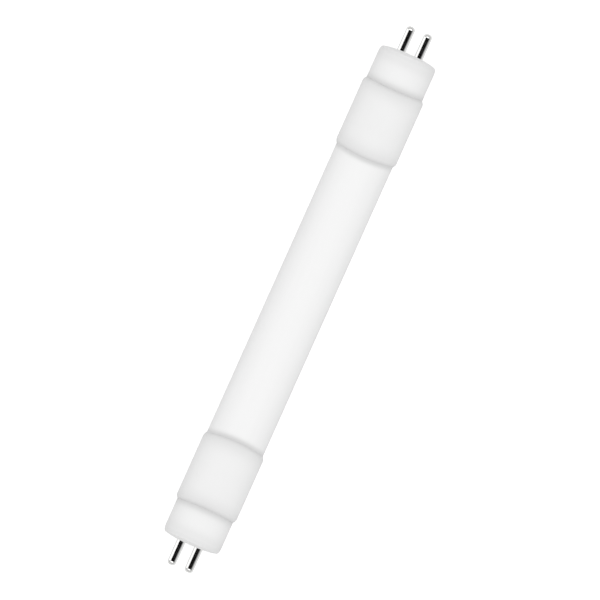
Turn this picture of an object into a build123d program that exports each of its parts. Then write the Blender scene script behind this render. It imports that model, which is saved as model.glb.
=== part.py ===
from build123d import *
from math import sqrt
import os

# LED tube lamp with bi-pin caps, in millimetres. X runs along the tube, the two pins of
# each cap lie side by side along Y, and the LEDs face up along Z. The origin is the
# middle of the lamp.

# Diffuser tube
tube_length = 104.0
tube_diameter = 15.5
tube_wall = 0.9

# Rails extruded with the tube, which hold the board by its long edges
rail_grip = 0.9
rail_thickness = 0.8
rail_play = 0.05

# End cap: the nose that shows, the neck under the collar and the plug inside the tube
nose_length = 9.85
nose_inset = 0.05
rim_length = 1.08
rim_drop = 0.87
face_fall = 0.56
face_land = 0.4
neck_length = 6.1
neck_step = 0.25
cap_wall = 1.25
face_wall = 1.8
plug_length = 6.0
plug_root = 1.5
plug_wall = 1.0
plug_clearance = 0.075
tongue_gap = 0.15

# Collar over the joint of tube and cap, both its ends swept towards the pins at the lamp's sides
collar_overlap = 12.75
collar_wall = 0.48
collar_clearance = 0.05
collar_land = 0.06
collar_inner_taper = 1.0
collar_outer_taper = 0.7
collar_joint = 0.15
mouth_sweep = 0.95
joint_sweep = 0.35

# Contact pins
pin_spacing = 4.75
pin_diameter = 2.3
pin_length = 6.6
tip_length = 0.65
tip_taper = 0.6
shank_step = 0.25
shank_recess = 0.1
shank_clearance = 0.03
flange_rim = 0.35
flange_thickness = 0.8
boss_height = 2.0
boss_land = 0.25

# Circuit board
board_floor = 2.85
board_thickness = 1.0
board_side_gap = 0.3
board_end_gap = 0.5
board_corner = 0.6
part_gap = 0.6

# LED packages
led_length = 3.5
led_width = 2.8
led_height = 0.7
led_count = 13
led_rim = 0.3
led_dish = 0.08
led_corner = 0.45

# Fuse resistor
fuse_length = 5.8
fuse_diameter = 2.2
fuse_cap = 1.3
fuse_waist = 0.15
fuse_lift = 0.05

# Bridge rectifier
bridge_length = 4.7
bridge_width = 3.9
bridge_height = 2.3
bridge_draft = 0.2
bridge_leg_width = 0.6
bridge_leg_pitch = 2.5
bridge_leg_reach = 1.2

# Smoothing capacitor
capacitor_diameter = 5.0
capacitor_length = 8.0
capacitor_crimp = 0.3
capacitor_crimp_width = 1.2
capacitor_crimp_inset = 1.5
capacitor_leg_root = 0.35
capacitor_leg_width = 0.6
capacitor_leg_pitch = 2.0
capacitor_leg_reach = 0.9
capacitor_lift = 0.1

# Driver chip
chip_length = 2.9
chip_width = 1.6
chip_height = 1.1
chip_draft = 0.08
chip_leg_width = 0.4
chip_leg_pitch = 0.95
chip_leg_reach = 0.6

# Bent legs, and the lift of the two moulded packages
leg_thickness = 0.18
leg_foot = 0.55
package_lift = 0.1

# Sense resistors
resistor_count = 2
resistor_length = 3.2
resistor_width = 1.6
resistor_height = 0.6
resistor_edge = 0.08

# Contact strips from the pins to the board
strip_width = 1.8
strip_thickness = 0.25
strip_bend = 1.2
strip_landing = 2.4

# Radii and places along the lamp that follow from these sizes
tube_radius = tube_diameter / 2
bore_radius = tube_radius - tube_wall
nose_radius = tube_radius - nose_inset
neck_radius = nose_radius - neck_step
cavity_radius = neck_radius - cap_wall
plug_radius = bore_radius - plug_clearance
collar_bore = tube_radius + collar_clearance
collar_radius = collar_bore + collar_wall
tube_end = tube_length / 2
shoulder = tube_end + neck_length
crown = shoulder + nose_length
face_inside = crown - face_wall
face_edge = crown - face_fall
boss_end = face_inside - boss_height
pin_row = pin_spacing / 2
pin_radius = pin_diameter / 2
shank_radius = pin_radius + shank_step
flange_radius = shank_radius + flange_rim
flange_back = boss_end - flange_thickness
face_land_radius = pin_row + shank_radius + face_land

# The corner between the two flats of the cap's rim lies on a quarter round
rim_corner = 1 - sqrt(0.5)

# Arcs of the swept ends, seen from above, which give way by each sweep at the collar's sides
mouth_arc = (collar_radius**2 + mouth_sweep**2) / (2 * mouth_sweep)
joint_arc = (collar_radius**2 + joint_sweep**2) / (2 * joint_sweep)

# The board hangs in the lower half of the tube
board_bottom = board_floor - bore_radius
board_top = board_bottom + board_thickness
board_half_width = sqrt(bore_radius**2 - board_bottom**2) - board_side_gap
board_end = tube_end - board_end_gap
rail_inside = board_half_width - rail_grip
upper_rail = board_top + rail_play
lower_rail = board_bottom - rail_play
strip_end = board_end - strip_landing
driver_end = strip_end - part_gap
capacitor_span = capacitor_length + capacitor_leg_reach
driver_run = max(fuse_length + part_gap + bridge_length, capacitor_span)
led_zone = 2 * (driver_end - driver_run - part_gap)
led_pitch = led_zone / led_count


def finish(piece, name):
    piece.label = name
    export_step(piece, f"parts/{name}.step")


def gull_wing_leg(root, height, reach):
    # Corners of one leg in a package's cross-section, its foot on the board at zero height
    elbow = root + reach - leg_foot
    return [
        (root, height),
        (elbow, height),
        (elbow + leg_thickness, leg_thickness),
        (root + reach, leg_thickness),
        (root + reach, 0),
        (elbow, 0),
        (elbow - leg_thickness, height - leg_thickness),
        (root, height - leg_thickness),
    ]


os.makedirs("parts", exist_ok=True)

# Diffuser tube with two pairs of rails
with BuildPart() as diffuser_tube:
    with BuildSketch(Plane.YZ):
        Circle(tube_radius)
        Circle(bore_radius, mode=Mode.SUBTRACT)
    extrude(amount=tube_end, both=True)
    with BuildSketch(Plane.YZ):
        with Locations((0, upper_rail)):
            Rectangle(tube_diameter, rail_thickness, align=(Align.CENTER, Align.MIN))
        with Locations((0, lower_rail)):
            Rectangle(tube_diameter, rail_thickness, align=(Align.CENTER, Align.MAX))
        Rectangle(2 * rail_inside, tube_diameter, mode=Mode.SUBTRACT)
        Circle(bore_radius + tube_wall / 2, mode=Mode.INTERSECT)
    extrude(amount=tube_end, both=True)
finish(diffuser_tube.part, "diffuser_tube")

# End cap, moulded in one: nose, neck, pin boss and two plug tongues
with BuildPart() as end_cap:
    with BuildSketch(Plane.XZ):
        with BuildLine():
            Polyline(
                (shoulder - joint_sweep, 0),
                (shoulder - joint_sweep, nose_radius),
                (face_edge - rim_length, nose_radius),
                (face_edge - rim_corner * rim_length, nose_radius - rim_corner * rim_drop),
                (face_edge, nose_radius - rim_drop),
                (crown, face_land_radius),
                (crown, 0),
                close=True,
            )
        make_face()
    revolve(axis=Axis.X)
    # The shoulder follows the collar's swept end
    with BuildSketch(Plane.XY):
        with Locations((shoulder + joint_arc, 0)):
            Circle(joint_arc)
    extrude(amount=tube_diameter, both=True, mode=Mode.INTERSECT)
    with BuildSketch(Plane.YZ.offset(tube_end)):
        Circle(neck_radius)
    extrude(amount=neck_length + joint_sweep)
    with BuildSketch(Plane.YZ.offset(tube_end)):
        Circle(cavity_radius)
    extrude(amount=face_inside - tube_end, mode=Mode.SUBTRACT)
    with BuildSketch(Plane.YZ.offset(face_inside)):
        SlotCenterToCenter(pin_spacing, 2 * (flange_radius + boss_land))
    extrude(amount=-boss_height)
    with BuildSketch(Plane.YZ.offset(boss_end)):
        with GridLocations(pin_spacing, 0, 2, 1):
            Circle(shank_radius + shank_clearance)
    extrude(amount=crown - boss_end, mode=Mode.SUBTRACT)
    with BuildSketch(Plane.YZ.offset(tube_end + plug_root)):
        Circle(plug_radius)
        Circle(plug_radius - plug_wall, mode=Mode.SUBTRACT)
        with Locations((0, upper_rail + rail_thickness + tongue_gap)):
            window = upper_rail - lower_rail + 2 * (rail_thickness + tongue_gap)
            Rectangle(tube_diameter, window, align=(Align.CENTER, Align.MAX), mode=Mode.SUBTRACT)
    extrude(amount=-plug_root - plug_length)

# Collar: stepped bore over the tube and the neck, both ends cut on an arc and tapered outside
with BuildPart() as collar:
    collar_start = tube_end - collar_overlap
    collar_end = shoulder - collar_joint
    with BuildSketch(Plane.XZ):
        with BuildLine():
            Polyline(
                (collar_start - mouth_sweep, collar_bore),
                (collar_start - mouth_sweep, collar_radius),
                (shoulder + joint_sweep, collar_radius),
                (shoulder + joint_sweep, neck_radius + collar_clearance),
                (tube_end, neck_radius + collar_clearance),
                (tube_end, collar_bore),
                close=True,
            )
        make_face()
    revolve(axis=Axis.X)
    with BuildSketch(Plane.XY):
        with Locations((collar_start + mouth_arc, 0)):
            Circle(mouth_arc)
        with Locations((collar_end + joint_arc, 0)):
            Circle(joint_arc, mode=Mode.SUBTRACT)
    extrude(amount=tube_diameter, both=True, mode=Mode.INTERSECT)
    for place, taper in ((0, collar_inner_taper), (-1, collar_outer_taper)):
        end_face = collar.faces().sort_by(Axis.X)[place]
        outer_edge = end_face.edges().sort_by(SortBy.LENGTH)[-1]
        chamfer(outer_edge, length=collar_wall - collar_land, length2=taper, reference=end_face)

# Contact pins and their strips, one of each on the front and back of the axis
right_pieces = {"end_cap": end_cap.part, "collar": collar.part}

for side, row in (("front", -pin_row), ("back", pin_row)):
    with BuildPart() as pin:
        pin_end = crown + pin_length
        with BuildSketch(Plane((0, row, 0), x_dir=(1, 0, 0), z_dir=(0, -1, 0))):
            with BuildLine():
                Polyline(
                    (flange_back, 0),
                    (flange_back, flange_radius),
                    (boss_end, flange_radius),
                    (boss_end, shank_radius),
                    (crown - shank_recess, shank_radius),
                    (crown - shank_recess, pin_radius),
                    (pin_end - tip_length, pin_radius),
                    (pin_end, pin_radius - tip_taper),
                    (pin_end, 0),
                    close=True,
                )
            make_face()
        revolve(axis=Axis((0, row, 0), (1, 0, 0)))
    right_pieces[f"{side}_pin"] = pin.part

    # The strip lies against the pin's flange and bends down to lie on the board
    with BuildPart() as strip:
        tab = flange_back - strip_thickness / 2
        foot = board_top + strip_thickness / 2
        with BuildLine() as strip_line:
            FilletPolyline(
                (tab, row, shank_radius),
                (tab, row, foot),
                (strip_end, row, foot),
                radius=strip_bend,
            )
        with BuildSketch(Plane(strip_line.line @ 0, x_dir=(0, 1, 0), z_dir=strip_line.line % 0)):
            Rectangle(strip_width, strip_thickness)
        sweep(path=strip_line.line)
    right_pieces[f"{side}_strip"] = strip.part

# Both ends carry the same pieces, the left ones mirrored
for name, piece in right_pieces.items():
    with BuildPart() as left_piece:
        mirror(piece, about=Plane.YZ)
    finish(piece, f"right_{name}")
    finish(left_piece.part, f"left_{name}")

# Circuit board, its corners eased to slide into the rails
with BuildPart() as led_board:
    with BuildSketch(Plane.XY.offset(board_bottom)):
        Rectangle(2 * board_end, 2 * board_half_width)
    extrude(amount=board_thickness)
    chamfer(led_board.edges().filter_by(Axis.Z), board_corner)
finish(led_board.part, "led_board")

# LED packages in one row, each with a shallow lit dish and one cut corner
for index in range(led_count):
    led_place = (index - (led_count - 1) / 2) * led_pitch
    with BuildPart() as led:
        with BuildSketch(Plane((led_place, 0, board_top))):
            Rectangle(led_length, led_width)
        extrude(amount=led_height)
        marked_corner = led.edges().filter_by(Axis.Z).group_by(Axis.X)[-1].sort_by(Axis.Y)[-1]
        chamfer(marked_corner, led_corner)
        with BuildSketch(Plane((led_place, 0, board_top + led_height))):
            Rectangle(led_length - 2 * led_rim, led_width - 2 * led_rim)
        extrude(amount=-led_dish, mode=Mode.SUBTRACT)
    finish(led.part, f"led_{index + 1:02d}")

# Fuse resistor: round body between two metal caps, at the left end of the board
fuse_place = fuse_length / 2 - driver_end
fuse_height = board_top + fuse_diameter / 2 + fuse_lift
with BuildPart() as fuse_resistor:
    with BuildSketch(Plane((fuse_place, 0, fuse_height), x_dir=(1, 0, 0), z_dir=(0, -1, 0))):
        Rectangle(fuse_length, fuse_diameter / 2, align=(Align.CENTER, Align.MIN))
        with Locations((0, fuse_diameter / 2)):
            waist = fuse_length - 2 * fuse_cap
            Rectangle(waist, fuse_waist, align=(Align.CENTER, Align.MAX), mode=Mode.SUBTRACT)
    revolve(axis=Axis((fuse_place, 0, fuse_height), (1, 0, 0)))
finish(fuse_resistor.part, "fuse_resistor")

# Bridge rectifier: tapered body on four bent legs, inboard of the fuse
bridge_place = fuse_place + fuse_length / 2 + part_gap + bridge_length / 2
with BuildPart() as bridge_rectifier:
    with BuildSketch(Plane((bridge_place, 0, board_top + package_lift))):
        Rectangle(bridge_length, bridge_width)
    extrude(amount=bridge_height)
    chamfer(
        bridge_rectifier.faces().sort_by(Axis.Z)[-1].edges(),
        length=bridge_height / 2,
        length2=bridge_draft,
    )
    leg_planes = [
        Plane((bridge_place + offset, 0, board_top), x_dir=(0, 1, 0), z_dir=(1, 0, 0))
        for offset in (-bridge_leg_pitch / 2, bridge_leg_pitch / 2)
    ]
    bridge_leg = gull_wing_leg(
        bridge_width / 2 - bridge_draft, bridge_height / 2, bridge_leg_reach + bridge_draft
    )
    with BuildSketch(*leg_planes):
        with BuildLine():
            Polyline(*bridge_leg, close=True)
        make_face()
        mirror(about=Plane.YZ)
    extrude(amount=bridge_leg_width / 2, both=True)
finish(bridge_rectifier.part, "bridge_rectifier")

# Smoothing capacitor: crimped can on two bent legs, lying along the right end of the board
capacitor_radius = capacitor_diameter / 2
capacitor_end = driver_end - capacitor_leg_reach
capacitor_start = capacitor_end - capacitor_length
capacitor_height = board_top + capacitor_radius + capacitor_lift
crimp_place = capacitor_end - capacitor_crimp_inset
with BuildPart() as smoothing_capacitor:
    with BuildSketch(Plane((0, 0, capacitor_height), x_dir=(1, 0, 0), z_dir=(0, -1, 0))):
        with BuildLine():
            Polyline(
                (capacitor_start, 0),
                (capacitor_end, 0),
                (capacitor_end, capacitor_radius),
                (crimp_place + capacitor_crimp_width / 2, capacitor_radius),
                (crimp_place, capacitor_radius - capacitor_crimp),
                (crimp_place - capacitor_crimp_width / 2, capacitor_radius),
                (capacitor_start, capacitor_radius),
                close=True,
            )
        make_face()
    revolve(axis=Axis((0, 0, capacitor_height), (1, 0, 0)))
    leg_planes = [
        Plane((capacitor_end, row, board_top), x_dir=(1, 0, 0), z_dir=(0, -1, 0))
        for row in (-capacitor_leg_pitch / 2, capacitor_leg_pitch / 2)
    ]
    capacitor_leg = gull_wing_leg(
        -capacitor_leg_root, capacitor_height - board_top, capacitor_leg_reach + capacitor_leg_root
    )
    with BuildSketch(*leg_planes):
        with BuildLine():
            Polyline(*capacitor_leg, close=True)
        make_face()
    extrude(amount=capacitor_leg_width / 2, both=True)
finish(smoothing_capacitor.part, "smoothing_capacitor")

# Driver chip on six bent legs, under the right end of the board
chip_place = driver_end - driver_run + chip_length / 2
with BuildPart() as driver_chip:
    with BuildSketch(Plane((chip_place, 0, board_bottom - package_lift), z_dir=(0, 0, -1))):
        Rectangle(chip_length, chip_width)
    extrude(amount=chip_height)
    chamfer(
        driver_chip.faces().sort_by(Axis.Z)[0].edges(),
        length=chip_height / 2,
        length2=chip_draft,
    )
    leg_planes = [
        Plane((chip_place + offset, 0, board_bottom), x_dir=(0, -1, 0), z_dir=(1, 0, 0))
        for offset in (-chip_leg_pitch, 0, chip_leg_pitch)
    ]
    chip_leg = gull_wing_leg(
        chip_width / 2 - chip_draft, chip_height / 2, chip_leg_reach + chip_draft
    )
    with BuildSketch(*leg_planes):
        with BuildLine():
            Polyline(*chip_leg, close=True)
        make_face()
        mirror(about=Plane.YZ)
    extrude(amount=chip_leg_width / 2, both=True)
finish(driver_chip.part, "driver_chip")

# Sense resistors side by side, outboard of the chip
for index in range(resistor_count):
    resistor_place = chip_place + chip_length / 2 + (index + 1) * part_gap + (index + 0.5) * resistor_width
    with BuildPart() as sense_resistor:
        with BuildSketch(Plane.XY.offset(board_bottom)):
            with Locations((resistor_place, 0)):
                Rectangle(resistor_width, resistor_length)
        extrude(amount=-resistor_height)
        chamfer(sense_resistor.faces().sort_by(Axis.Z)[0].edges(), resistor_edge)
    finish(sense_resistor.part, f"sense_resistor_{index + 1}")
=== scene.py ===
import bmesh
import bpy
from math import cos, pi, radians, sin, sqrt
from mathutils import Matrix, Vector


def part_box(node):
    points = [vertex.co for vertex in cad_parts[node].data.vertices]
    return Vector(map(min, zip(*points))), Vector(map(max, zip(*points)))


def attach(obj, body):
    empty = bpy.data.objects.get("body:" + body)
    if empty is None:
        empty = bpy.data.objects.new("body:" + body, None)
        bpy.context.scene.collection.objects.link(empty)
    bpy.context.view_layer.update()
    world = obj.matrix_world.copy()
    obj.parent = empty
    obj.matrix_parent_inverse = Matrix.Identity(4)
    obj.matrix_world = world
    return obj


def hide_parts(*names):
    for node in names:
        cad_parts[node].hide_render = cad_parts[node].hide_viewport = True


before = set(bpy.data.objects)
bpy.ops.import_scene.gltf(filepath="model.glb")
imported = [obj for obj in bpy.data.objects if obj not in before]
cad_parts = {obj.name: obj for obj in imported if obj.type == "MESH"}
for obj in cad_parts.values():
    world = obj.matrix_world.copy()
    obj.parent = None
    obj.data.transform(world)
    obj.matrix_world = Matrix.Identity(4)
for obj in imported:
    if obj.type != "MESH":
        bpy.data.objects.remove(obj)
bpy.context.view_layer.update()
mm = 0.001  # sizes are given in millimetres, Blender works in metres
white = (1.0, 1.0, 1.0)
black = (0.0, 0.0, 0.0)
print("frame loaded:", len(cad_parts), "nodes")


# modelling in steps that every turned or moulded piece shares
# a corner of an outline is its place along the lamp and its distance from the axis
# an ease is how far the rounding of a corner reaches and how many steps it has

benchForm = {
    "sameSpot": 0.0002,  # points nearer to each other are merged
    "pickReach": 0.002,  # points nearer to a corner are picked with it
    "onLine": 0.001,  # points nearer to the middle line lie on it
    "cutReach": 0.0001,  # points nearer to a cutting plane lie on it
    "sliver": 0.002,  # narrower faces are merged away after cutting
    "flatFace": 0.001,  # edges and faces thinner than this are dissolved then
    "smoothAngle": 28.0,  # in degrees, and edges that bend more stay sharp
}


def deselectAll():
    bpy.ops.object.select_all(action="DESELECT")


def selectOnly(piece):
    deselectAll()
    bpy.context.view_layer.objects.active = piece
    piece.select_set(True)


def mergeDoubles(reach):
    bpy.ops.mesh.select_all(action="SELECT")
    bpy.ops.mesh.remove_doubles(threshold=reach * mm)


def sectionPoint(corner, row):
    along, out = corner
    return Vector((along * mm, row * mm, out * mm))


def traceOutline(name, corners, row=0.0):
    points = [sectionPoint(corner, row) for corner in corners]
    deselectAll()
    bpy.ops.mesh.primitive_plane_add(size=mm, location=(0, 0, 0))
    piece = bpy.context.active_object
    piece.name = name
    piece.data.name = name
    bpy.ops.object.mode_set(mode="EDIT")
    bpy.ops.mesh.select_mode(type="VERT")
    bpy.ops.mesh.select_all(action="SELECT")
    bpy.ops.mesh.merge(type="CENTER")  # one point left, to draw with
    bpy.ops.transform.translate(value=points[0])
    for here, there in zip(points, points[1:]):
        bpy.ops.mesh.extrude_region_move(TRANSFORM_OT_translate={"value": there - here})
    mergeDoubles(benchForm["sameSpot"])
    return piece


def roundCorner(piece, corner, ease, row=0.0):
    reach, steps = ease
    spot = sectionPoint(corner, row)
    mesh = bmesh.from_edit_mesh(piece.data)
    for point in mesh.verts:
        point.select = (point.co - spot).length < benchForm["pickReach"] * mm
    mesh.select_flush(True)
    bmesh.update_edit_mesh(piece.data)
    bpy.ops.mesh.bevel(affect="VERTICES", offset=reach * mm, segments=steps, profile=0.5)


def spinRound(steps, row=0.0):
    # the outline that was traced last, about its axis
    bpy.ops.mesh.select_all(action="SELECT")
    bpy.ops.mesh.spin(steps=steps, angle=2 * pi, center=(0, row * mm, 0), axis=(1, 0, 0))
    mergeDoubles(benchForm["sameSpot"])
    bpy.ops.mesh.normals_make_consistent(inside=False)
    bpy.ops.object.mode_set(mode="OBJECT")


def sweepRings(piece, first, last, sweep):
    # rings between two places lean towards the pins at the lamp's sides, on an arc seen from above
    arc = (collarForm["radius"] ** 2 + sweep ** 2) / (2 * sweep) * mm
    bpy.ops.object.mode_set(mode="EDIT")
    mesh = bmesh.from_edit_mesh(piece.data)
    for point in mesh.verts:
        if first * mm < point.co.x < last * mm:
            point.co.x += arc - sqrt(arc ** 2 - point.co.y ** 2)
    bmesh.update_edit_mesh(piece.data)
    bpy.ops.object.mode_set(mode="OBJECT")


def combine(piece, other, operation):
    selectOnly(piece)
    step = piece.modifiers.new(operation.lower(), "BOOLEAN")
    step.operation = operation
    step.solver = "EXACT"
    step.object = other
    bpy.ops.object.modifier_apply(modifier=step.name)
    bpy.data.objects.remove(other)


def cleanCuts(piece):
    # slivers that cutting and joining leave behind, and many-sided faces
    bpy.ops.object.mode_set(mode="EDIT")
    mergeDoubles(benchForm["sliver"])
    bpy.ops.mesh.dissolve_degenerate(threshold=benchForm["flatFace"] * mm)
    mesh = bmesh.from_edit_mesh(piece.data)
    for face in mesh.faces:
        face.select = len(face.verts) > 4
    bmesh.update_edit_mesh(piece.data)
    bpy.ops.mesh.quads_convert_to_tris(quad_method="BEAUTY", ngon_method="BEAUTY")
    bpy.ops.object.mode_set(mode="OBJECT")


def copyTurned(piece, name, turn=0.0, shift=(0, 0, 0)):
    twin = piece.copy()
    twin.data = piece.data.copy()
    twin.name = name
    twin.data.name = name
    bpy.context.scene.collection.objects.link(twin)
    twin.location = shift
    twin.rotation_euler = (0, 0, turn)
    selectOnly(twin)
    bpy.ops.object.transform_apply(location=True, rotation=True, scale=True)
    return twin


def giveFinish(piece, material):
    piece.data.materials.clear()
    piece.data.materials.append(material)


def settle(piece, node, material):
    selectOnly(piece)
    bpy.ops.object.shade_smooth_by_angle(angle=radians(benchForm["smoothAngle"]))
    smooth = piece.modifiers.new("weighted", "WEIGHTED_NORMAL")  # keeps straight walls straight
    smooth.keep_sharp = True
    bpy.ops.object.modifier_apply(modifier=smooth.name)
    giveFinish(piece, material)
    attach(piece, "root")
    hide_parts(node)


# building blocks of the finishes

def setSockets(tree, node, values):
    # each socket gets a link from another node or a value of its own
    for label, value in values.items():
        socket = node.inputs[label]
        if isinstance(value, bpy.types.NodeSocket):
            tree.links.new(value, socket)
        elif socket.type == "RGBA":
            socket.default_value = (*value, 1.0)
        else:
            socket.default_value = value


def addNode(tree, kind, values=None, **settings):
    node = tree.nodes.new(kind)
    for key, value in settings.items():
        setattr(node, key, value)
    setSockets(tree, node, values or {})
    return node


def mathStep(tree, operation, *values):
    node = addNode(tree, "ShaderNodeMath", dict(enumerate(values)), operation=operation)
    return node.outputs[0]


def spread(tree, value, low, high):
    node = addNode(tree, "ShaderNodeMapRange", {"Value": value, "To Min": low, "To Max": high})
    return node.outputs["Result"]


def splitAxes(tree, place):
    return addNode(tree, "ShaderNodeSeparateXYZ", {0: place}).outputs


def stretched(tree, place, scale):
    return addNode(tree, "ShaderNodeMapping", {"Vector": place, "Scale": scale}).outputs["Vector"]


def addNoise(tree, place, scale, detail):
    noise = addNode(tree, "ShaderNodeTexNoise", {"Vector": place, "Scale": scale, "Detail": detail})
    return noise.outputs["Fac"]


def blendColour(tree, share, first, second):
    mix = addNode(tree, "ShaderNodeMix", {"Factor": share, 6: first, 7: second}, data_type="RGBA")
    return mix.outputs[2]  # 6, 7 and 2 are its sockets for colour


def addBump(tree, height, strength, depth):
    bump = addNode(
        tree, "ShaderNodeBump", {"Height": height, "Strength": strength, "Distance": depth * mm}
    )
    return bump.outputs["Normal"]


def newMaterial(name):
    material = bpy.data.materials.new(name)
    material.use_nodes = True
    return material, material.node_tree, material.node_tree.nodes["Principled BSDF"]


def objectPlace(tree):
    return addNode(tree, "ShaderNodeTexCoord").outputs["Object"]


# shader groups that several finishes share

def newGroup(name, inputs, outputs):
    group = bpy.data.node_groups.new(name, "ShaderNodeTree")
    for label, kind in inputs:
        group.interface.new_socket(label, in_out="INPUT", socket_type=kind)
    for label in outputs:
        group.interface.new_socket(label, in_out="OUTPUT", socket_type="NodeSocketFloat")
    return group, addNode(group, "NodeGroupInput").outputs, addNode(group, "NodeGroupOutput")


def placeGroup(tree, group, place, values):
    node = addNode(tree, "ShaderNodeGroup", {"Vector": place, **values}, node_tree=group)
    return node.outputs


def makeJointShade():
    # how deep in the painted shade of a joint a point lies, by its distance along the lamp
    inputs = [("Vector", "NodeSocketVector")]
    inputs += [(label, "NodeSocketFloat") for label in ("Place", "Reach", "Bow", "Fade")]
    group, given, result = newGroup("jointShade", inputs, ["Shade"])
    axes = splitAxes(group, given["Vector"])
    across = mathStep(group, "MULTIPLY", axes["Y"], axes["Y"])
    lean = mathStep(group, "MULTIPLY", across, given["Bow"])
    along = mathStep(group, "SUBTRACT", mathStep(group, "ABSOLUTE", axes["X"]), lean)
    away = mathStep(group, "SUBTRACT", along, given["Place"])
    share = mathStep(group, "DIVIDE", away, given["Reach"])
    square = mathStep(group, "MULTIPLY", share, share)
    depth = mathStep(group, "EXPONENT", mathStep(group, "MULTIPLY", square, -1.0))
    lost = mathStep(group, "MULTIPLY", across, given["Fade"])
    kept = mathStep(group, "SUBTRACT", 1.0, lost)
    setSockets(group, result, {"Shade": mathStep(group, "MULTIPLY", depth, kept)})
    return group


grainForm = {"grainDetail": 3.0, "driftDetail": 2.0}


def makePlasticGrain():
    # fine tooled texture, slow drift of tone and of gloss
    inputs = [("Vector", "NodeSocketVector")]
    inputs += [(label, "NodeSocketFloat") for label in ("Grain", "Drift")]
    group, given, result = newGroup("plasticGrain", inputs, ["Height", "Tone", "Gloss"])
    grain = addNoise(group, given["Vector"], given["Grain"], grainForm["grainDetail"])
    drift = addNoise(group, given["Vector"], given["Drift"], grainForm["driftDetail"])
    mean = mathStep(group, "MULTIPLY", mathStep(group, "ADD", drift, grain), 0.5)
    setSockets(group, result, {"Height": grain, "Tone": drift, "Gloss": mean})
    return group


def makePatchMask():
    # 1 inside the box between two corners, 0 outside
    labels = ("Vector", "Low", "High")
    inputs = [(label, "NodeSocketVector") for label in labels]
    group, given, result = newGroup("patchMask", inputs, ["Mask"])
    spot, low, high = (splitAxes(group, given[label]) for label in labels)
    mask = 1.0
    for axis in "XYZ":
        above = mathStep(group, "GREATER_THAN", spot[axis], low[axis])
        below = mathStep(group, "LESS_THAN", spot[axis], high[axis])
        mask = mathStep(group, "MULTIPLY", mathStep(group, "MULTIPLY", above, below), mask)
    setSockets(group, result, {"Mask": mask})
    return group


jointShade = makeJointShade()
plasticGrain = makePlasticGrain()
patchMask = makePatchMask()


def mouldedWhite(name, look):
    # white plastic, its colour darkened by painted shade, mostly along its joints, and in places
    # lightened by painted light
    material, tree, shader = newMaterial(name)
    place = objectPlace(tree)
    drawn = stretched(tree, place, look["stretch"])
    grain = placeGroup(tree, plasticGrain, drawn, {"Grain": look["grain"], "Drift": look["drift"]})
    colour = blendColour(tree, grain["Tone"], look["colour"], look["driftColour"])
    # each band paints shade or light into the colour
    for band in look["paintedBands"]:
        shade = placeGroup(tree, jointShade, place, {
            "Place": band["place"] * mm,
            "Reach": band["reach"] * mm,
            "Bow": band["sweep"] * mm / collarHigh.z ** 2,
            "Fade": jointForm["sideFade"] / collarHigh.z ** 2,
        })
        depth = mathStep(tree, "MULTIPLY", shade["Shade"], band["depth"])
        colour = blendColour(tree, depth, colour, band["tone"])
    setSockets(tree, shader, {
        "Base Color": colour,
        "Roughness": spread(tree, grain["Gloss"], *look["roughness"]),
        "Specular IOR Level": look["specular"],
        "Diffuse Roughness": look["chalk"],
        "Normal": addBump(tree, grain["Height"], look["bump"], look["bumpDepth"]),
    })
    return material


# joints of tube, collar and cap, and the painted shade beside them, swept towards the pins at the
# lamp's sides

collarLow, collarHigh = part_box("right_collar")
jointForm = {
    "mouth": collarLow.x / mm,
    "mouthSweep": 0.95,
    "mouthShadeLine": -0.25,  # from the mouth to the middle of its line of painted shade
    "shoulder": 58.1,
    "shoulderSweep": 0.35,
    # from the shoulder to the middle of its line of painted shade
    "shoulderShadeLine": 0.06,
    "sideFade": 0.4,  # share of a joint's painted shade lost at the lamp's sides
    "gap": 0.01,  # moulded flush, so the joint is only a hairline
}


def paintedJointBand(joint, reach, depth, shift=0.0):
    # painted shade that follows a joint's sweep
    return {
        "place": jointForm[joint] + shift,
        "sweep": jointForm[f"{joint}Sweep"],
        "reach": reach,
        "depth": depth,
        "tone": black,
    }


# diffuser tube, with the two pairs of rails that carry the board

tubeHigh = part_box("diffuser_tube")[1]
tubeForm = {
    "half": tubeHigh.x / mm,
    "radius": tubeHigh.z / mm,
    "wall": 0.9,
    "edgeEase": (0.08, 3),
    "steps": 192,
    "railInside": 4.361,
    "railEnd": 0.05,
    "rails": [(-2.95, -2.15, 6.75), (-4.85, -4.05, 5.75)],  # bottom, top, how far out it runs
    "finish": {
        "stretch": (0.04, 1.0, 1.0),  # faint lines along the extrusion
        "grain": 2600.0,  # cells of the fine texture in a metre
        "drift": 500.0,  # and of the slow drift in tone
        "colour": (0.79, 0.79, 0.79),
        "driftColour": (0.81, 0.81, 0.81),
        "roughness": (0.5, 0.62),
        "specular": 0.04,
        "chalk": 0.25,  # how far it scatters light as chalk does
        "bump": 0.06,
        "bumpDepth": 0.02,
        # painted shade on the tube beside the collar's mouth
        "paintedBands": [paintedJointBand("mouth", reach=0.78, depth=0.23, shift=jointForm["mouthShadeLine"])],
    },
}


def makeRail(side, bottom, top, reach):
    deselectAll()
    inside = tubeForm["railInside"]
    middle = side * (inside + reach) / 2
    bpy.ops.mesh.primitive_cube_add(size=mm, location=(0, middle * mm, (bottom + top) / 2 * mm))
    rail = bpy.context.active_object
    rail.scale = (2 * (tubeForm["half"] - tubeForm["railEnd"]), reach - inside, top - bottom)
    bpy.ops.object.transform_apply(location=True, scale=True)
    return rail


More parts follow.
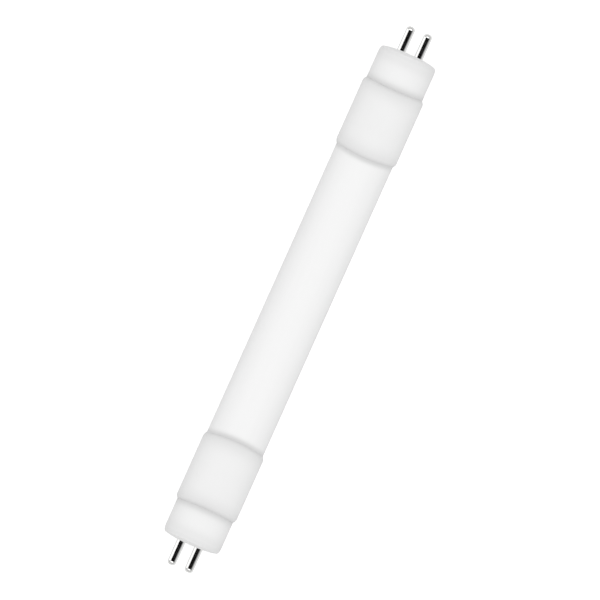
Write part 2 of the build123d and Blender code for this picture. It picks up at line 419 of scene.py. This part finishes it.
def makeTube():
    outer, inner = tubeForm["radius"], tubeForm["radius"] - tubeForm["wall"]
    half = tubeForm["half"]
    corners = [(-half, outer), (half, outer), (half, inner), (-half, inner), (-half, outer)]
    tube = traceOutline("opal_tube", corners)
    for corner in corners[:-1]:
        roundCorner(tube, corner, tubeForm["edgeEase"])
    spinRound(tubeForm["steps"])
    for bottom, top, reach in tubeForm["rails"]:
        for side in (-1, 1):
            combine(tube, makeRail(side, bottom, top, reach), "UNION")
    settle(tube, "diffuser_tube", mouldedWhite("opalPlastic", tubeForm["finish"]))
    print("tube made:", len(tube.data.polygons), "faces")


# collars over the joints of tube and caps

collarForm = {
    "start": jointForm["mouth"],
    "end": jointForm["shoulder"] - jointForm["gap"],
    "radius": collarHigh.z / mm,
    "bore": 7.8,
    "lip": 0.03,
    "lipEase": (0.015, 3),
    "neckBore": 7.5,
    "outerLip": 0.2,  # brings the outer end level with the nose
    "outerLipEase": (0.03, 3),
    "innerTaper": 0.75,
    "innerEase": (0.35, 10),
    "outerTaper": 0.8,
    "outerEase": (0.4, 10),
    "steps": 192,
    "finish": {
        "stretch": (1.0, 1.0, 1.0),
        "grain": 5200.0,
        "drift": 160.0,
        "colour": (0.765, 0.765, 0.765),
        "driftColour": (0.785, 0.785, 0.785),
        "roughness": (0.48, 0.6),
        "specular": 0.04,
        "chalk": 0.35,
        "bump": 0.08,
        "bumpDepth": 0.02,
        # painted shade on the collar beside its mouth and beside the cap's shoulder
        "paintedBands": [
            paintedJointBand("mouth", reach=0.78, depth=0.15, shift=jointForm["mouthShadeLine"]),
            paintedJointBand("mouth", reach=2.7, depth=0.12),
            paintedJointBand("shoulder", reach=0.55, depth=0.08),
            paintedJointBand("shoulder", reach=2.6, depth=0.12),
        ],
    },
}


def makeCollars():
    start, end, radius = collarForm["start"], collarForm["end"], collarForm["radius"]
    bore, neckBore = collarForm["bore"], collarForm["neckBore"]
    step = tubeForm["half"]  # where the bore narrows to the neck
    innerLip = (start, bore + collarForm["lip"])
    innerBend = (start + collarForm["innerTaper"], radius)
    outerBend = (end - collarForm["outerTaper"], radius)
    outerLip = (end, neckBore + collarForm["outerLip"])
    corners = [
        (start, bore), innerLip, innerBend, outerBend, outerLip,
        (end, neckBore), (step, neckBore), (step, bore), (start, bore),
    ]
    right = traceOutline("collar_right", corners)
    roundCorner(right, innerBend, collarForm["innerEase"])
    roundCorner(right, outerBend, collarForm["outerEase"])
    roundCorner(right, innerLip, collarForm["lipEase"])
    roundCorner(right, outerLip, collarForm["outerLipEase"])
    spinRound(collarForm["steps"])
    sweepRings(right, 0, (start + step) / 2, jointForm["mouthSweep"])
    sweepRings(right, (step + end) / 2, capForm["face"], jointForm["shoulderSweep"])
    left = copyTurned(right, "collar_left", turn=pi)
    satin = mouldedWhite("satinCollar", collarForm["finish"])
    settle(right, "right_collar", satin)
    settle(left, "left_collar", satin)
    print("collars made:", len(right.data.polygons), "faces each")


# end caps: nose, neck, pin boss and plug tongues in one moulding

capLow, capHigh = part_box("right_end_cap")


def paintedCapBand(behindFace, reach, depth, tone=black):
    # straight band of painted shade or painted light on the cap
    place = capHigh.x / mm - behindFace
    return {"place": place, "sweep": 0.0, "reach": reach, "depth": depth, "tone": tone}


capForm = {
    "face": capHigh.x / mm,
    "tongueTip": capLow.x / mm,
    "nose": capHigh.z / mm,
    "shoulder": jointForm["shoulder"],
    "shoulderEase": (0.03, 4),
    "neck": 7.45,
    "cavity": 6.2,
    "faceWall": 1.8,
    "landRadius": 4.175,
    "landEase": (2.2, 10),
    "faceFall": 0.65,
    "faceRadius": 7.26,
    "faceEase": (0.35, 8),
    "rimDepth": 1.65,
    "rimEase": (0.55, 10),
    "bossHeight": 2.0,
    "bossRadius": 2.0,
    "bossRoot": 0.3,
    "bossSteps": 128,
    "holeRadius": 1.43,
    "holeSteps": 96,
    "drillLength": 12.0,
    "tongueRadius": 6.775,
    "tongueWall": 1.0,
    "tongueRoot": 1.5,
    "tongueLeadIn": (0.3, 1),
    "window": (-5.0, -2.0),  # bottom and top of the room that the tongues leave for the rails
    "steps": 192,
    "finish": {
        "stretch": (1.0, 1.0, 1.0),
        "grain": 6400.0,
        "drift": 180.0,
        "colour": (0.775, 0.775, 0.775),
        "driftColour": (0.795, 0.795, 0.795),
        "roughness": (0.52, 0.66),
        "specular": 0.04,
        "chalk": 0.25,
        "bump": 0.1,
        "bumpDepth": 0.02,
        # painted shade beside the shoulder and behind the rim
        "paintedBands": [
            paintedJointBand("shoulder", reach=0.95, depth=0.11, shift=jointForm["shoulderShadeLine"]),
            paintedJointBand("shoulder", reach=1.4, depth=0.14),
            paintedCapBand(behindFace=2.55, reach=1.6, depth=0.07),
            paintedCapBand(behindFace=1.35, reach=0.5, depth=0.045),
            # painted light: the edge of the face whitened
            paintedCapBand(behindFace=0.2, reach=0.4, depth=0.25, tone=white),
        ],
    },
}


def makeTongue(name, cutHeight, upper):
    outer, tip = capForm["tongueRadius"], capForm["tongueTip"]
    inner, root = outer - capForm["tongueWall"], tubeForm["half"] + capForm["tongueRoot"]
    corners = [(tip, outer), (root, outer), (root, inner), (tip, inner), (tip, outer)]
    tongue = traceOutline(name, corners)
    roundCorner(tongue, (tip, outer), capForm["tongueLeadIn"])
    spinRound(capForm["steps"])
    halfStep = pi / capForm["steps"]
    tongue.rotation_euler = (halfStep, 0, 0)  # so that its edges miss the neck's
    bpy.ops.object.transform_apply(rotation=True)
    bpy.ops.object.mode_set(mode="EDIT")
    bpy.ops.mesh.select_all(action="SELECT")
    bpy.ops.mesh.bisect(
        plane_co=(0, 0, cutHeight * mm), plane_no=(0, 0, 1), use_fill=True,
        clear_inner=upper, clear_outer=not upper, threshold=benchForm["cutReach"] * mm,
    )
    bpy.ops.object.mode_set(mode="OBJECT")
    return tongue


def makeRod(steps, radius, length, middle, row):
    # a round rod along the lamp
    deselectAll()
    bpy.ops.mesh.primitive_cylinder_add(
        vertices=steps, radius=radius * mm, depth=length * mm,
        location=(middle * mm, row * mm, 0), rotation=(0, pi / 2, 0),
    )
    bpy.ops.object.transform_apply(location=True, rotation=True)
    return bpy.context.active_object


def makeBoss():
    # a round boss pulled apart into a slot shape over both pins
    root = capForm["face"] - capForm["faceWall"] + capForm["bossRoot"]
    length = capForm["bossHeight"] + capForm["bossRoot"]
    boss = makeRod(capForm["bossSteps"], capForm["bossRadius"], length, root - length / 2, 0)
    for side in (-1, 1):
        bpy.ops.object.mode_set(mode="EDIT")
        mesh = bmesh.from_edit_mesh(boss.data)
        for point in mesh.verts:
            point.select = side * point.co.y > benchForm["onLine"] * mm
        mesh.select_flush(False)
        bmesh.update_edit_mesh(boss.data)
        bpy.ops.transform.translate(value=(0, side * abs(pinForm["row"]) * mm, 0))
        bpy.ops.object.mode_set(mode="OBJECT")
    return boss


def makeCaps():
    face, shoulder = capForm["face"], capForm["shoulder"]
    neckEnd, innerFace = tubeForm["half"], face - capForm["faceWall"]
    land = (face, capForm["landRadius"])
    faceEdge = (face - capForm["faceFall"], capForm["faceRadius"])
    rim = (face - capForm["rimDepth"], capForm["nose"])
    noseEnd = (shoulder, capForm["nose"])
    corners = [
        (face, 0), land, faceEdge, rim, noseEnd, (shoulder, capForm["neck"]),
        (neckEnd, capForm["neck"]), (neckEnd, capForm["cavity"]),
        (innerFace, capForm["cavity"]), (innerFace, 0),
    ]
    right = traceOutline("end_cap_right", corners)
    roundCorner(right, rim, capForm["rimEase"])
    roundCorner(right, faceEdge, capForm["faceEase"])
    roundCorner(right, land, capForm["landEase"])
    roundCorner(right, noseEnd, capForm["shoulderEase"])
    spinRound(capForm["steps"])
    behind, ahead = (neckEnd + shoulder) / 2, (shoulder + innerFace) / 2
    sweepRings(right, behind, ahead, jointForm["shoulderSweep"])
    windowBottom, windowTop = capForm["window"]
    combine(right, makeTongue("upper_tongue", windowTop, upper=True), "UNION")
    combine(right, makeTongue("lower_tongue", windowBottom, upper=False), "UNION")
    combine(right, makeBoss(), "UNION")
    steps, radius, length = capForm["holeSteps"], capForm["holeRadius"], capForm["drillLength"]
    for row in (-pinForm["row"], pinForm["row"]):
        combine(right, makeRod(steps, radius, length, innerFace, row), "DIFFERENCE")
    cleanCuts(right)
    left = copyTurned(right, "end_cap_left", turn=pi)
    moulded = mouldedWhite("mouldedCap", capForm["finish"])
    settle(right, "right_end_cap", moulded)
    settle(left, "left_end_cap", moulded)
    print("end caps made:", len(right.data.polygons), "faces each")


# contact pins, turned and plated

pinLow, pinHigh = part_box("right_front_pin")
pinForm = {
    "row": (pinLow.y + pinHigh.y) / 2 / mm,
    "back": pinLow.x / mm,
    "tip": pinHigh.x / mm,
    "flange": (pinHigh.z - pinLow.z) / 2 / mm,
    "flangeThickness": 0.8,
    "flangeEase": (0.06, 3),
    "shank": 1.4,
    "recess": 0.1,
    "radius": 1.15,
    "tipEase": (0.95, 12),
    "tipHold": 0.03,  # ring that ends the straight wall
    "steps": 96,
    "finish": {
        "colour": (0.86, 0.86, 0.85),
        "drawnColour": (0.78, 0.78, 0.77),
        "stretch": (1.0, 0.05, 0.05),  # fine rings left by turning
        "ringScale": 14000.0,
        "ringDetail": 2.0,
        "roughness": (0.04, 0.07),
        "bump": 0.03,
        "bumpDepth": 0.01,
    },
}


def platedMetal(name, look):
    material, tree, shader = newMaterial(name)
    turned = stretched(tree, objectPlace(tree), look["stretch"])
    rings = addNoise(tree, turned, look["ringScale"], look["ringDetail"])
    setSockets(tree, shader, {
        "Base Color": blendColour(tree, rings, look["colour"], look["drawnColour"]),
        "Roughness": spread(tree, rings, *look["roughness"]),
        "Metallic": 1.0,
        "Normal": addBump(tree, rings, look["bump"], look["bumpDepth"]),
    })
    return material


def makePins():
    row, back, tip = pinForm["row"], pinForm["back"], pinForm["tip"]
    flange, shank, radius = pinForm["flange"], pinForm["shank"], pinForm["radius"]
    front = back + pinForm["flangeThickness"]
    step = capForm["face"] - pinForm["recess"]
    hold = tip - pinForm["tipEase"][0] - pinForm["tipHold"]
    corners = [
        (back, 0), (back, flange), (front, flange), (front, shank), (step, shank),
        (step, radius), (hold, radius), (tip, radius), (tip, 0),
    ]
    rightFront = traceOutline("pin_right_front", corners, row)
    roundCorner(rightFront, (tip, radius), pinForm["tipEase"], row)
    roundCorner(rightFront, (back, flange), pinForm["flangeEase"], row)
    roundCorner(rightFront, (front, flange), pinForm["flangeEase"], row)
    spinRound(pinForm["steps"], row)
    toBack = Vector((0, -2 * row * mm, 0))
    rightBack = copyTurned(rightFront, "pin_right_back", shift=toBack)
    leftBack = copyTurned(rightFront, "pin_left_back", turn=pi)
    leftFront = copyTurned(leftBack, "pin_left_front", shift=-toBack)
    plated = platedMetal("platedPin", pinForm["finish"])
    pins = {
        "right_front_pin": rightFront,
        "right_back_pin": rightBack,
        "left_back_pin": leftBack,
        "left_front_pin": leftFront,
    }
    for node, piece in pins.items():
        settle(piece, node, plated)
        piece.visible_glossy = False  # the pins don't mirror each other
    print("pins made:", len(rightFront.data.polygons), "faces each")


makeTube()
makeCollars()
makeCaps()
makePins()


# finishes of the parts inside, which keep their own solids
# a patch of colour lies between two places on each axis, from the middle of its piece
# "folded" lays the patches on both sides of that middle

far = 100.0  # past the sides of any piece
whole = (-far, far)
tinned = (0.62, 0.62, 0.6)
bareBoard = (0.5, 0.43, 0.24)
skin = 0.01  # depth of a face that has its own colour
boardLow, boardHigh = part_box("led_board")
boardHalf = (boardHigh - boardLow) / 2 / mm
ledPitch = (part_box("led_02")[0].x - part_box("led_01")[0].x) / mm
capacitorLow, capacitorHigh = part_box("smoothing_capacitor")
capacitorHalf = (capacitorHigh.x - capacitorLow.x) / 2 / mm
capacitorLegs = 0.89


def colourPatch(colour, x=whole, y=whole, z=whole, metal=False):
    low, high = zip(x, y, z)
    return {"low": low, "high": high, "colour": colour, "metal": metal}


boardLook = {
    "name": "whiteMask",
    "nodes": ["led_board"],
    "colour": (0.82, 0.83, 0.81),
    "second": (0.74, 0.76, 0.73),
    "grain": 900.0,
    "roughness": (0.35, 0.5),
    "folded": True,
    "patches": [
        colourPatch((0.7, 0.72, 0.68), x=(-far, 39.0), y=(1.75, 2.1)),  # tracks
        colourPatch(tinned, x=(48.8, 51.2), y=(1.3, 3.45), metal=True),  # pads
        colourPatch(bareBoard, y=(boardHalf.y - skin, far)),  # cut edges
        colourPatch(bareBoard, x=(boardHalf.x - skin, far)),
    ],
}
ledLook = {
    "name": "ledPackage",
    "nodes": [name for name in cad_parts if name.startswith("led_") and name != "led_board"],
    "colour": (0.8, 0.8, 0.78),
    "second": (0.76, 0.76, 0.74),
    "grain": 3600.0,
    "roughness": (0.3, 0.45),
    "pitch": ledPitch,
    "folded": True,
    "patches": [
        colourPatch((0.85, 0.6, 0.09), x=(-far, 1.45), y=(-far, 1.1), z=(0.2, 0.3)),  # window
        colourPatch(tinned, x=(1.74, far), y=(-far, 0.9), z=(-far, 0.0), metal=True),  # legs
    ],
}
fuseLook = {
    "name": "fuseCoat",
    "nodes": ["fuse_resistor"],
    "colour": (0.16, 0.3, 0.27),
    "second": (0.12, 0.24, 0.22),
    "grain": 2400.0,
    "roughness": (0.25, 0.4),
    "folded": False,
    "patches": [
        colourPatch((0.2, 0.07, 0.02), x=(-1.15, -0.8)),  # code bands
        colourPatch((0.01, 0.01, 0.01), x=(-0.45, -0.1)),
        colourPatch((0.5, 0.33, 0.07), x=(0.7, 1.05)),
        colourPatch(tinned, x=(-far, -1.595), metal=True),  # end caps and legs
        colourPatch(tinned, x=(1.595, far), metal=True),
    ],
}
bridgeLook = {
    "name": "bridgeEpoxy",
    "nodes": ["bridge_rectifier"],
    "colour": (0.018, 0.018, 0.019),
    "second": (0.03, 0.03, 0.031),
    "grain": 5200.0,
    "roughness": (0.5, 0.7),
    "folded": True,
    "patches": [colourPatch(tinned, y=(1.955, far), metal=True)],  # legs
}
chipLook = {
    "name": "chipEpoxy",
    "nodes": ["driver_chip"],
    "colour": (0.016, 0.016, 0.017),
    "second": (0.026, 0.026, 0.027),
    "grain": 6400.0,
    "roughness": (0.5, 0.68),
    "folded": True,
    "patches": [colourPatch(tinned, y=(0.805, far), metal=True)],  # legs
}
capacitorLook = {
    "name": "darkSleeve",
    "nodes": ["smoothing_capacitor"],
    "colour": (0.012, 0.016, 0.035),
    "second": (0.02, 0.024, 0.05),
    "grain": 1400.0,
    "roughness": (0.2, 0.34),
    "folded": False,
    "patches": [
        colourPatch((0.45, 0.46, 0.48), y=(1.2, far), z=(0.0, far)),  # minus stripe
        colourPatch(tinned, x=(-far, skin - capacitorHalf), metal=True),  # bare end of the can
        colourPatch(tinned, x=(capacitorHalf - capacitorLegs, far), metal=True),  # legs
    ],
}
resistorLook = {
    "name": "resistorGlaze",
    "nodes": ["sense_resistor_1", "sense_resistor_2"],
    "colour": (0.02, 0.02, 0.022),
    "second": (0.035, 0.035, 0.036),
    "grain": 4000.0,
    "roughness": (0.18, 0.3),
    "folded": True,
    "patches": [colourPatch(tinned, y=(1.2, far), metal=True)],  # end caps
}
stripLook = {
    "name": "tinnedStrip",
    "nodes": ["right_front_strip", "right_back_strip", "left_front_strip", "left_back_strip"],
    "colour": (0.6, 0.6, 0.58),
    "second": (0.5, 0.5, 0.49),
    "grain": 3000.0,
    "roughness": (0.28, 0.45),
    "metal": 1.0,
    "patches": [],
}
insideLook = {"drift": 120.0, "bump": 0.1, "bumpDepth": 0.01}


def placeOnPiece(tree, place, look):
    # from the middle of the piece, or of each of a row of pieces at one pitch
    low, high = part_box(look["nodes"][0])
    axes = splitAxes(tree, place)
    local = addNode(tree, "ShaderNodeCombineXYZ")
    for axis, middle in zip("XYZ", (low + high) / 2):
        spot = mathStep(tree, "SUBTRACT", axes[axis], middle)
        if axis == "X" and "pitch" in look:
            halfPitch = look["pitch"] / 2 * mm
            spot = mathStep(tree, "WRAP", spot, halfPitch, -halfPitch)
        if axis != "Z" and look["folded"]:
            spot = mathStep(tree, "ABSOLUTE", spot)
        setSockets(tree, local, {axis: spot})
    return local.outputs[0]


def insideFinish(look):
    material, tree, shader = newMaterial(look["name"])
    place = objectPlace(tree)
    scales = {"Grain": look["grain"], "Drift": insideLook["drift"]}
    grain = placeGroup(tree, plasticGrain, place, scales)
    colour = blendColour(tree, grain["Tone"], look["colour"], look["second"])
    metal = look.get("metal", 0.0)
    if look["patches"]:
        local = placeOnPiece(tree, place, look)
    for patch in look["patches"]:
        corners = {"Low": Vector(patch["low"]) * mm, "High": Vector(patch["high"]) * mm}
        mask = placeGroup(tree, patchMask, local, corners)["Mask"]
        colour = blendColour(tree, mask, colour, patch["colour"])
        if patch["metal"]:
            metal = mathStep(tree, "MAXIMUM", mask, metal)
    setSockets(tree, shader, {
        "Base Color": colour,
        "Roughness": spread(tree, grain["Gloss"], *look["roughness"]),
        "Metallic": metal,
        "Normal": addBump(tree, grain["Height"], insideLook["bump"], insideLook["bumpDepth"]),
    })
    return material


partLooks = [
    boardLook, ledLook, fuseLook, bridgeLook, chipLook, capacitorLook, resistorLook, stripLook,
]
for look in partLooks:
    finish = insideFinish(look)
    for name in look["nodes"]:
        giveFinish(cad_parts[name], finish)
print("inside parts finished:", sum(len(look["nodes"]) for look in partLooks))


# floor, light and camera

stageLook = {
    "floorHeight": -collarForm["radius"],
    "floorSize": 4000.0,
    "floorColour": (0.5, 0.5, 0.5),
    "floorRoughness": 0.9,
    "floorGlow": 0.43,  # as light on the lamp
    "floorShown": 0.66,  # to the camera
    "floorGloss": 0.34,  # in polish
    "domeLight": 0.61,
    "backdrop": 1.0,
    "softboxSize": 800.0,
    "softboxHeight": 600.0,
    "softboxPower": 3.14,  # in watts
}
cardLook = {
    "distance": 60.0,
    "inner": 60.0,  # from here to there along the lamp
    "outer": 76.0,
    "light": (-110.0, -40.0),  # degrees from straight up, to the right of the picture
    "lightGlow": (1.3, 1.3),
    "dark": (-40.0, 44.0),
    "darkGlow": (0.0, 0.0),
    "fill": (44.0, 100.0),
    "fillGlow": (0.0, 0.95),  # from its first edge to its last
}
cameraView = {
    "lean": 24.177,  # degrees that the lamp leans to the right
    "mmPerPixel": 0.2528,
    "pixels": 600,
    "lampPixel": (299.315, 299.103),  # the lamp's middle
    "height": 350.0,
    "nearest": 10.0,
}


def makeFloor():
    deselectAll()
    bpy.ops.mesh.primitive_plane_add(
        size=stageLook["floorSize"] * mm, location=(0, 0, stageLook["floorHeight"] * mm)
    )
    floor = bpy.context.active_object
    floor.name = "floor"
    material, tree, shader = newMaterial("paleFloor")
    ray = addNode(tree, "ShaderNodeLightPath").outputs
    glow, gloss = stageLook["floorGlow"], stageLook["floorGloss"]
    shown = spread(tree, ray["Is Camera Ray"], glow, stageLook["floorShown"])
    lost = spread(tree, ray["Is Glossy Ray"], 0.0, glow - gloss)
    setSockets(tree, shader, {
        "Base Color": stageLook["floorColour"],
        "Roughness": stageLook["floorRoughness"],
        "Specular IOR Level": 0.0,
        "Emission Color": white,
        "Emission Strength": mathStep(tree, "SUBTRACT", shown, lost),
    })
    giveFinish(floor, material)


def makeLight():
    world = bpy.data.worlds.new("softDome")
    bpy.context.scene.world = world
    world.use_nodes = True
    tree = world.node_tree
    seen = addNode(tree, "ShaderNodeLightPath").outputs["Is Camera Ray"]
    glow = spread(tree, seen, stageLook["domeLight"], stageLook["backdrop"])
    setSockets(tree, tree.nodes["Background"], {"Color": white, "Strength": glow})
    deselectAll()
    bpy.ops.object.light_add(type="AREA", location=(0, 0, stageLook["softboxHeight"] * mm))
    softbox = bpy.context.active_object
    softbox.name = "softbox"
    softbox.data.size = stageLook["softboxSize"] * mm
    softbox.data.energy = stageLook["softboxPower"]


def makeCard(kind, end, side):
    # flat card beside the pins, which only their polish shows
    name = f"{kind}_card_{end}"
    first, last = (radians(edge) for edge in cardLook[kind])
    firstGlow, lastGlow = cardLook[f"{kind}Glow"]
    middle, half = (first + last) / 2, (last - first) / 2
    reach = cardLook["distance"] * cos(half)
    along = side * (cardLook["inner"] + cardLook["outer"]) / 2
    deselectAll()
    bpy.ops.mesh.primitive_plane_add(
        size=mm, rotation=(middle, 0, 0),
        location=(along * mm, -sin(middle) * reach * mm, cos(middle) * reach * mm),
    )
    card = bpy.context.active_object
    card.name = name
    card.scale = (cardLook["outer"] - cardLook["inner"], 2 * cardLook["distance"] * sin(half), 1)
    bpy.ops.object.transform_apply(location=True, rotation=True, scale=True)
    material, tree, shader = newMaterial(name)
    width = splitAxes(tree, addNode(tree, "ShaderNodeTexCoord").outputs["UV"])["Y"]
    setSockets(tree, shader, {
        "Base Color": black,
        "Specular IOR Level": 0.0,
        "Emission Color": white,
        "Emission Strength": spread(tree, width, lastGlow, firstGlow),
    })
    giveFinish(card, material)
    card.visible_camera = False
    card.visible_diffuse = False
    card.visible_transmission = False
    card.visible_volume_scatter = False
    card.visible_shadow = False


def makeCamera():
    deselectAll()
    turn = radians(cameraView["lean"] - 90)
    bpy.ops.object.camera_add(location=(0, 0, cameraView["height"] * mm), rotation=(0, 0, turn))
    camera = bpy.context.active_object
    camera.name = "camera"
    pixels = cameraView["pixels"]
    middle = (pixels - 1) / 2
    camera.data.type = "ORTHO"
    camera.data.ortho_scale = pixels * cameraView["mmPerPixel"] * mm
    camera.data.shift_x = (middle - cameraView["lampPixel"][0]) / pixels
    camera.data.shift_y = (cameraView["lampPixel"][1] - middle) / pixels
    camera.data.clip_start = cameraView["nearest"] * mm
    bpy.context.scene.camera = camera


makeFloor()
makeLight()
for end, side in (("left", -1), ("right", 1)):
    for kind in ("light", "dark", "fill"):
        makeCard(kind, end, side)
makeCamera()
bpy.context.scene.view_settings.view_transform = "Standard"
print("stage set")
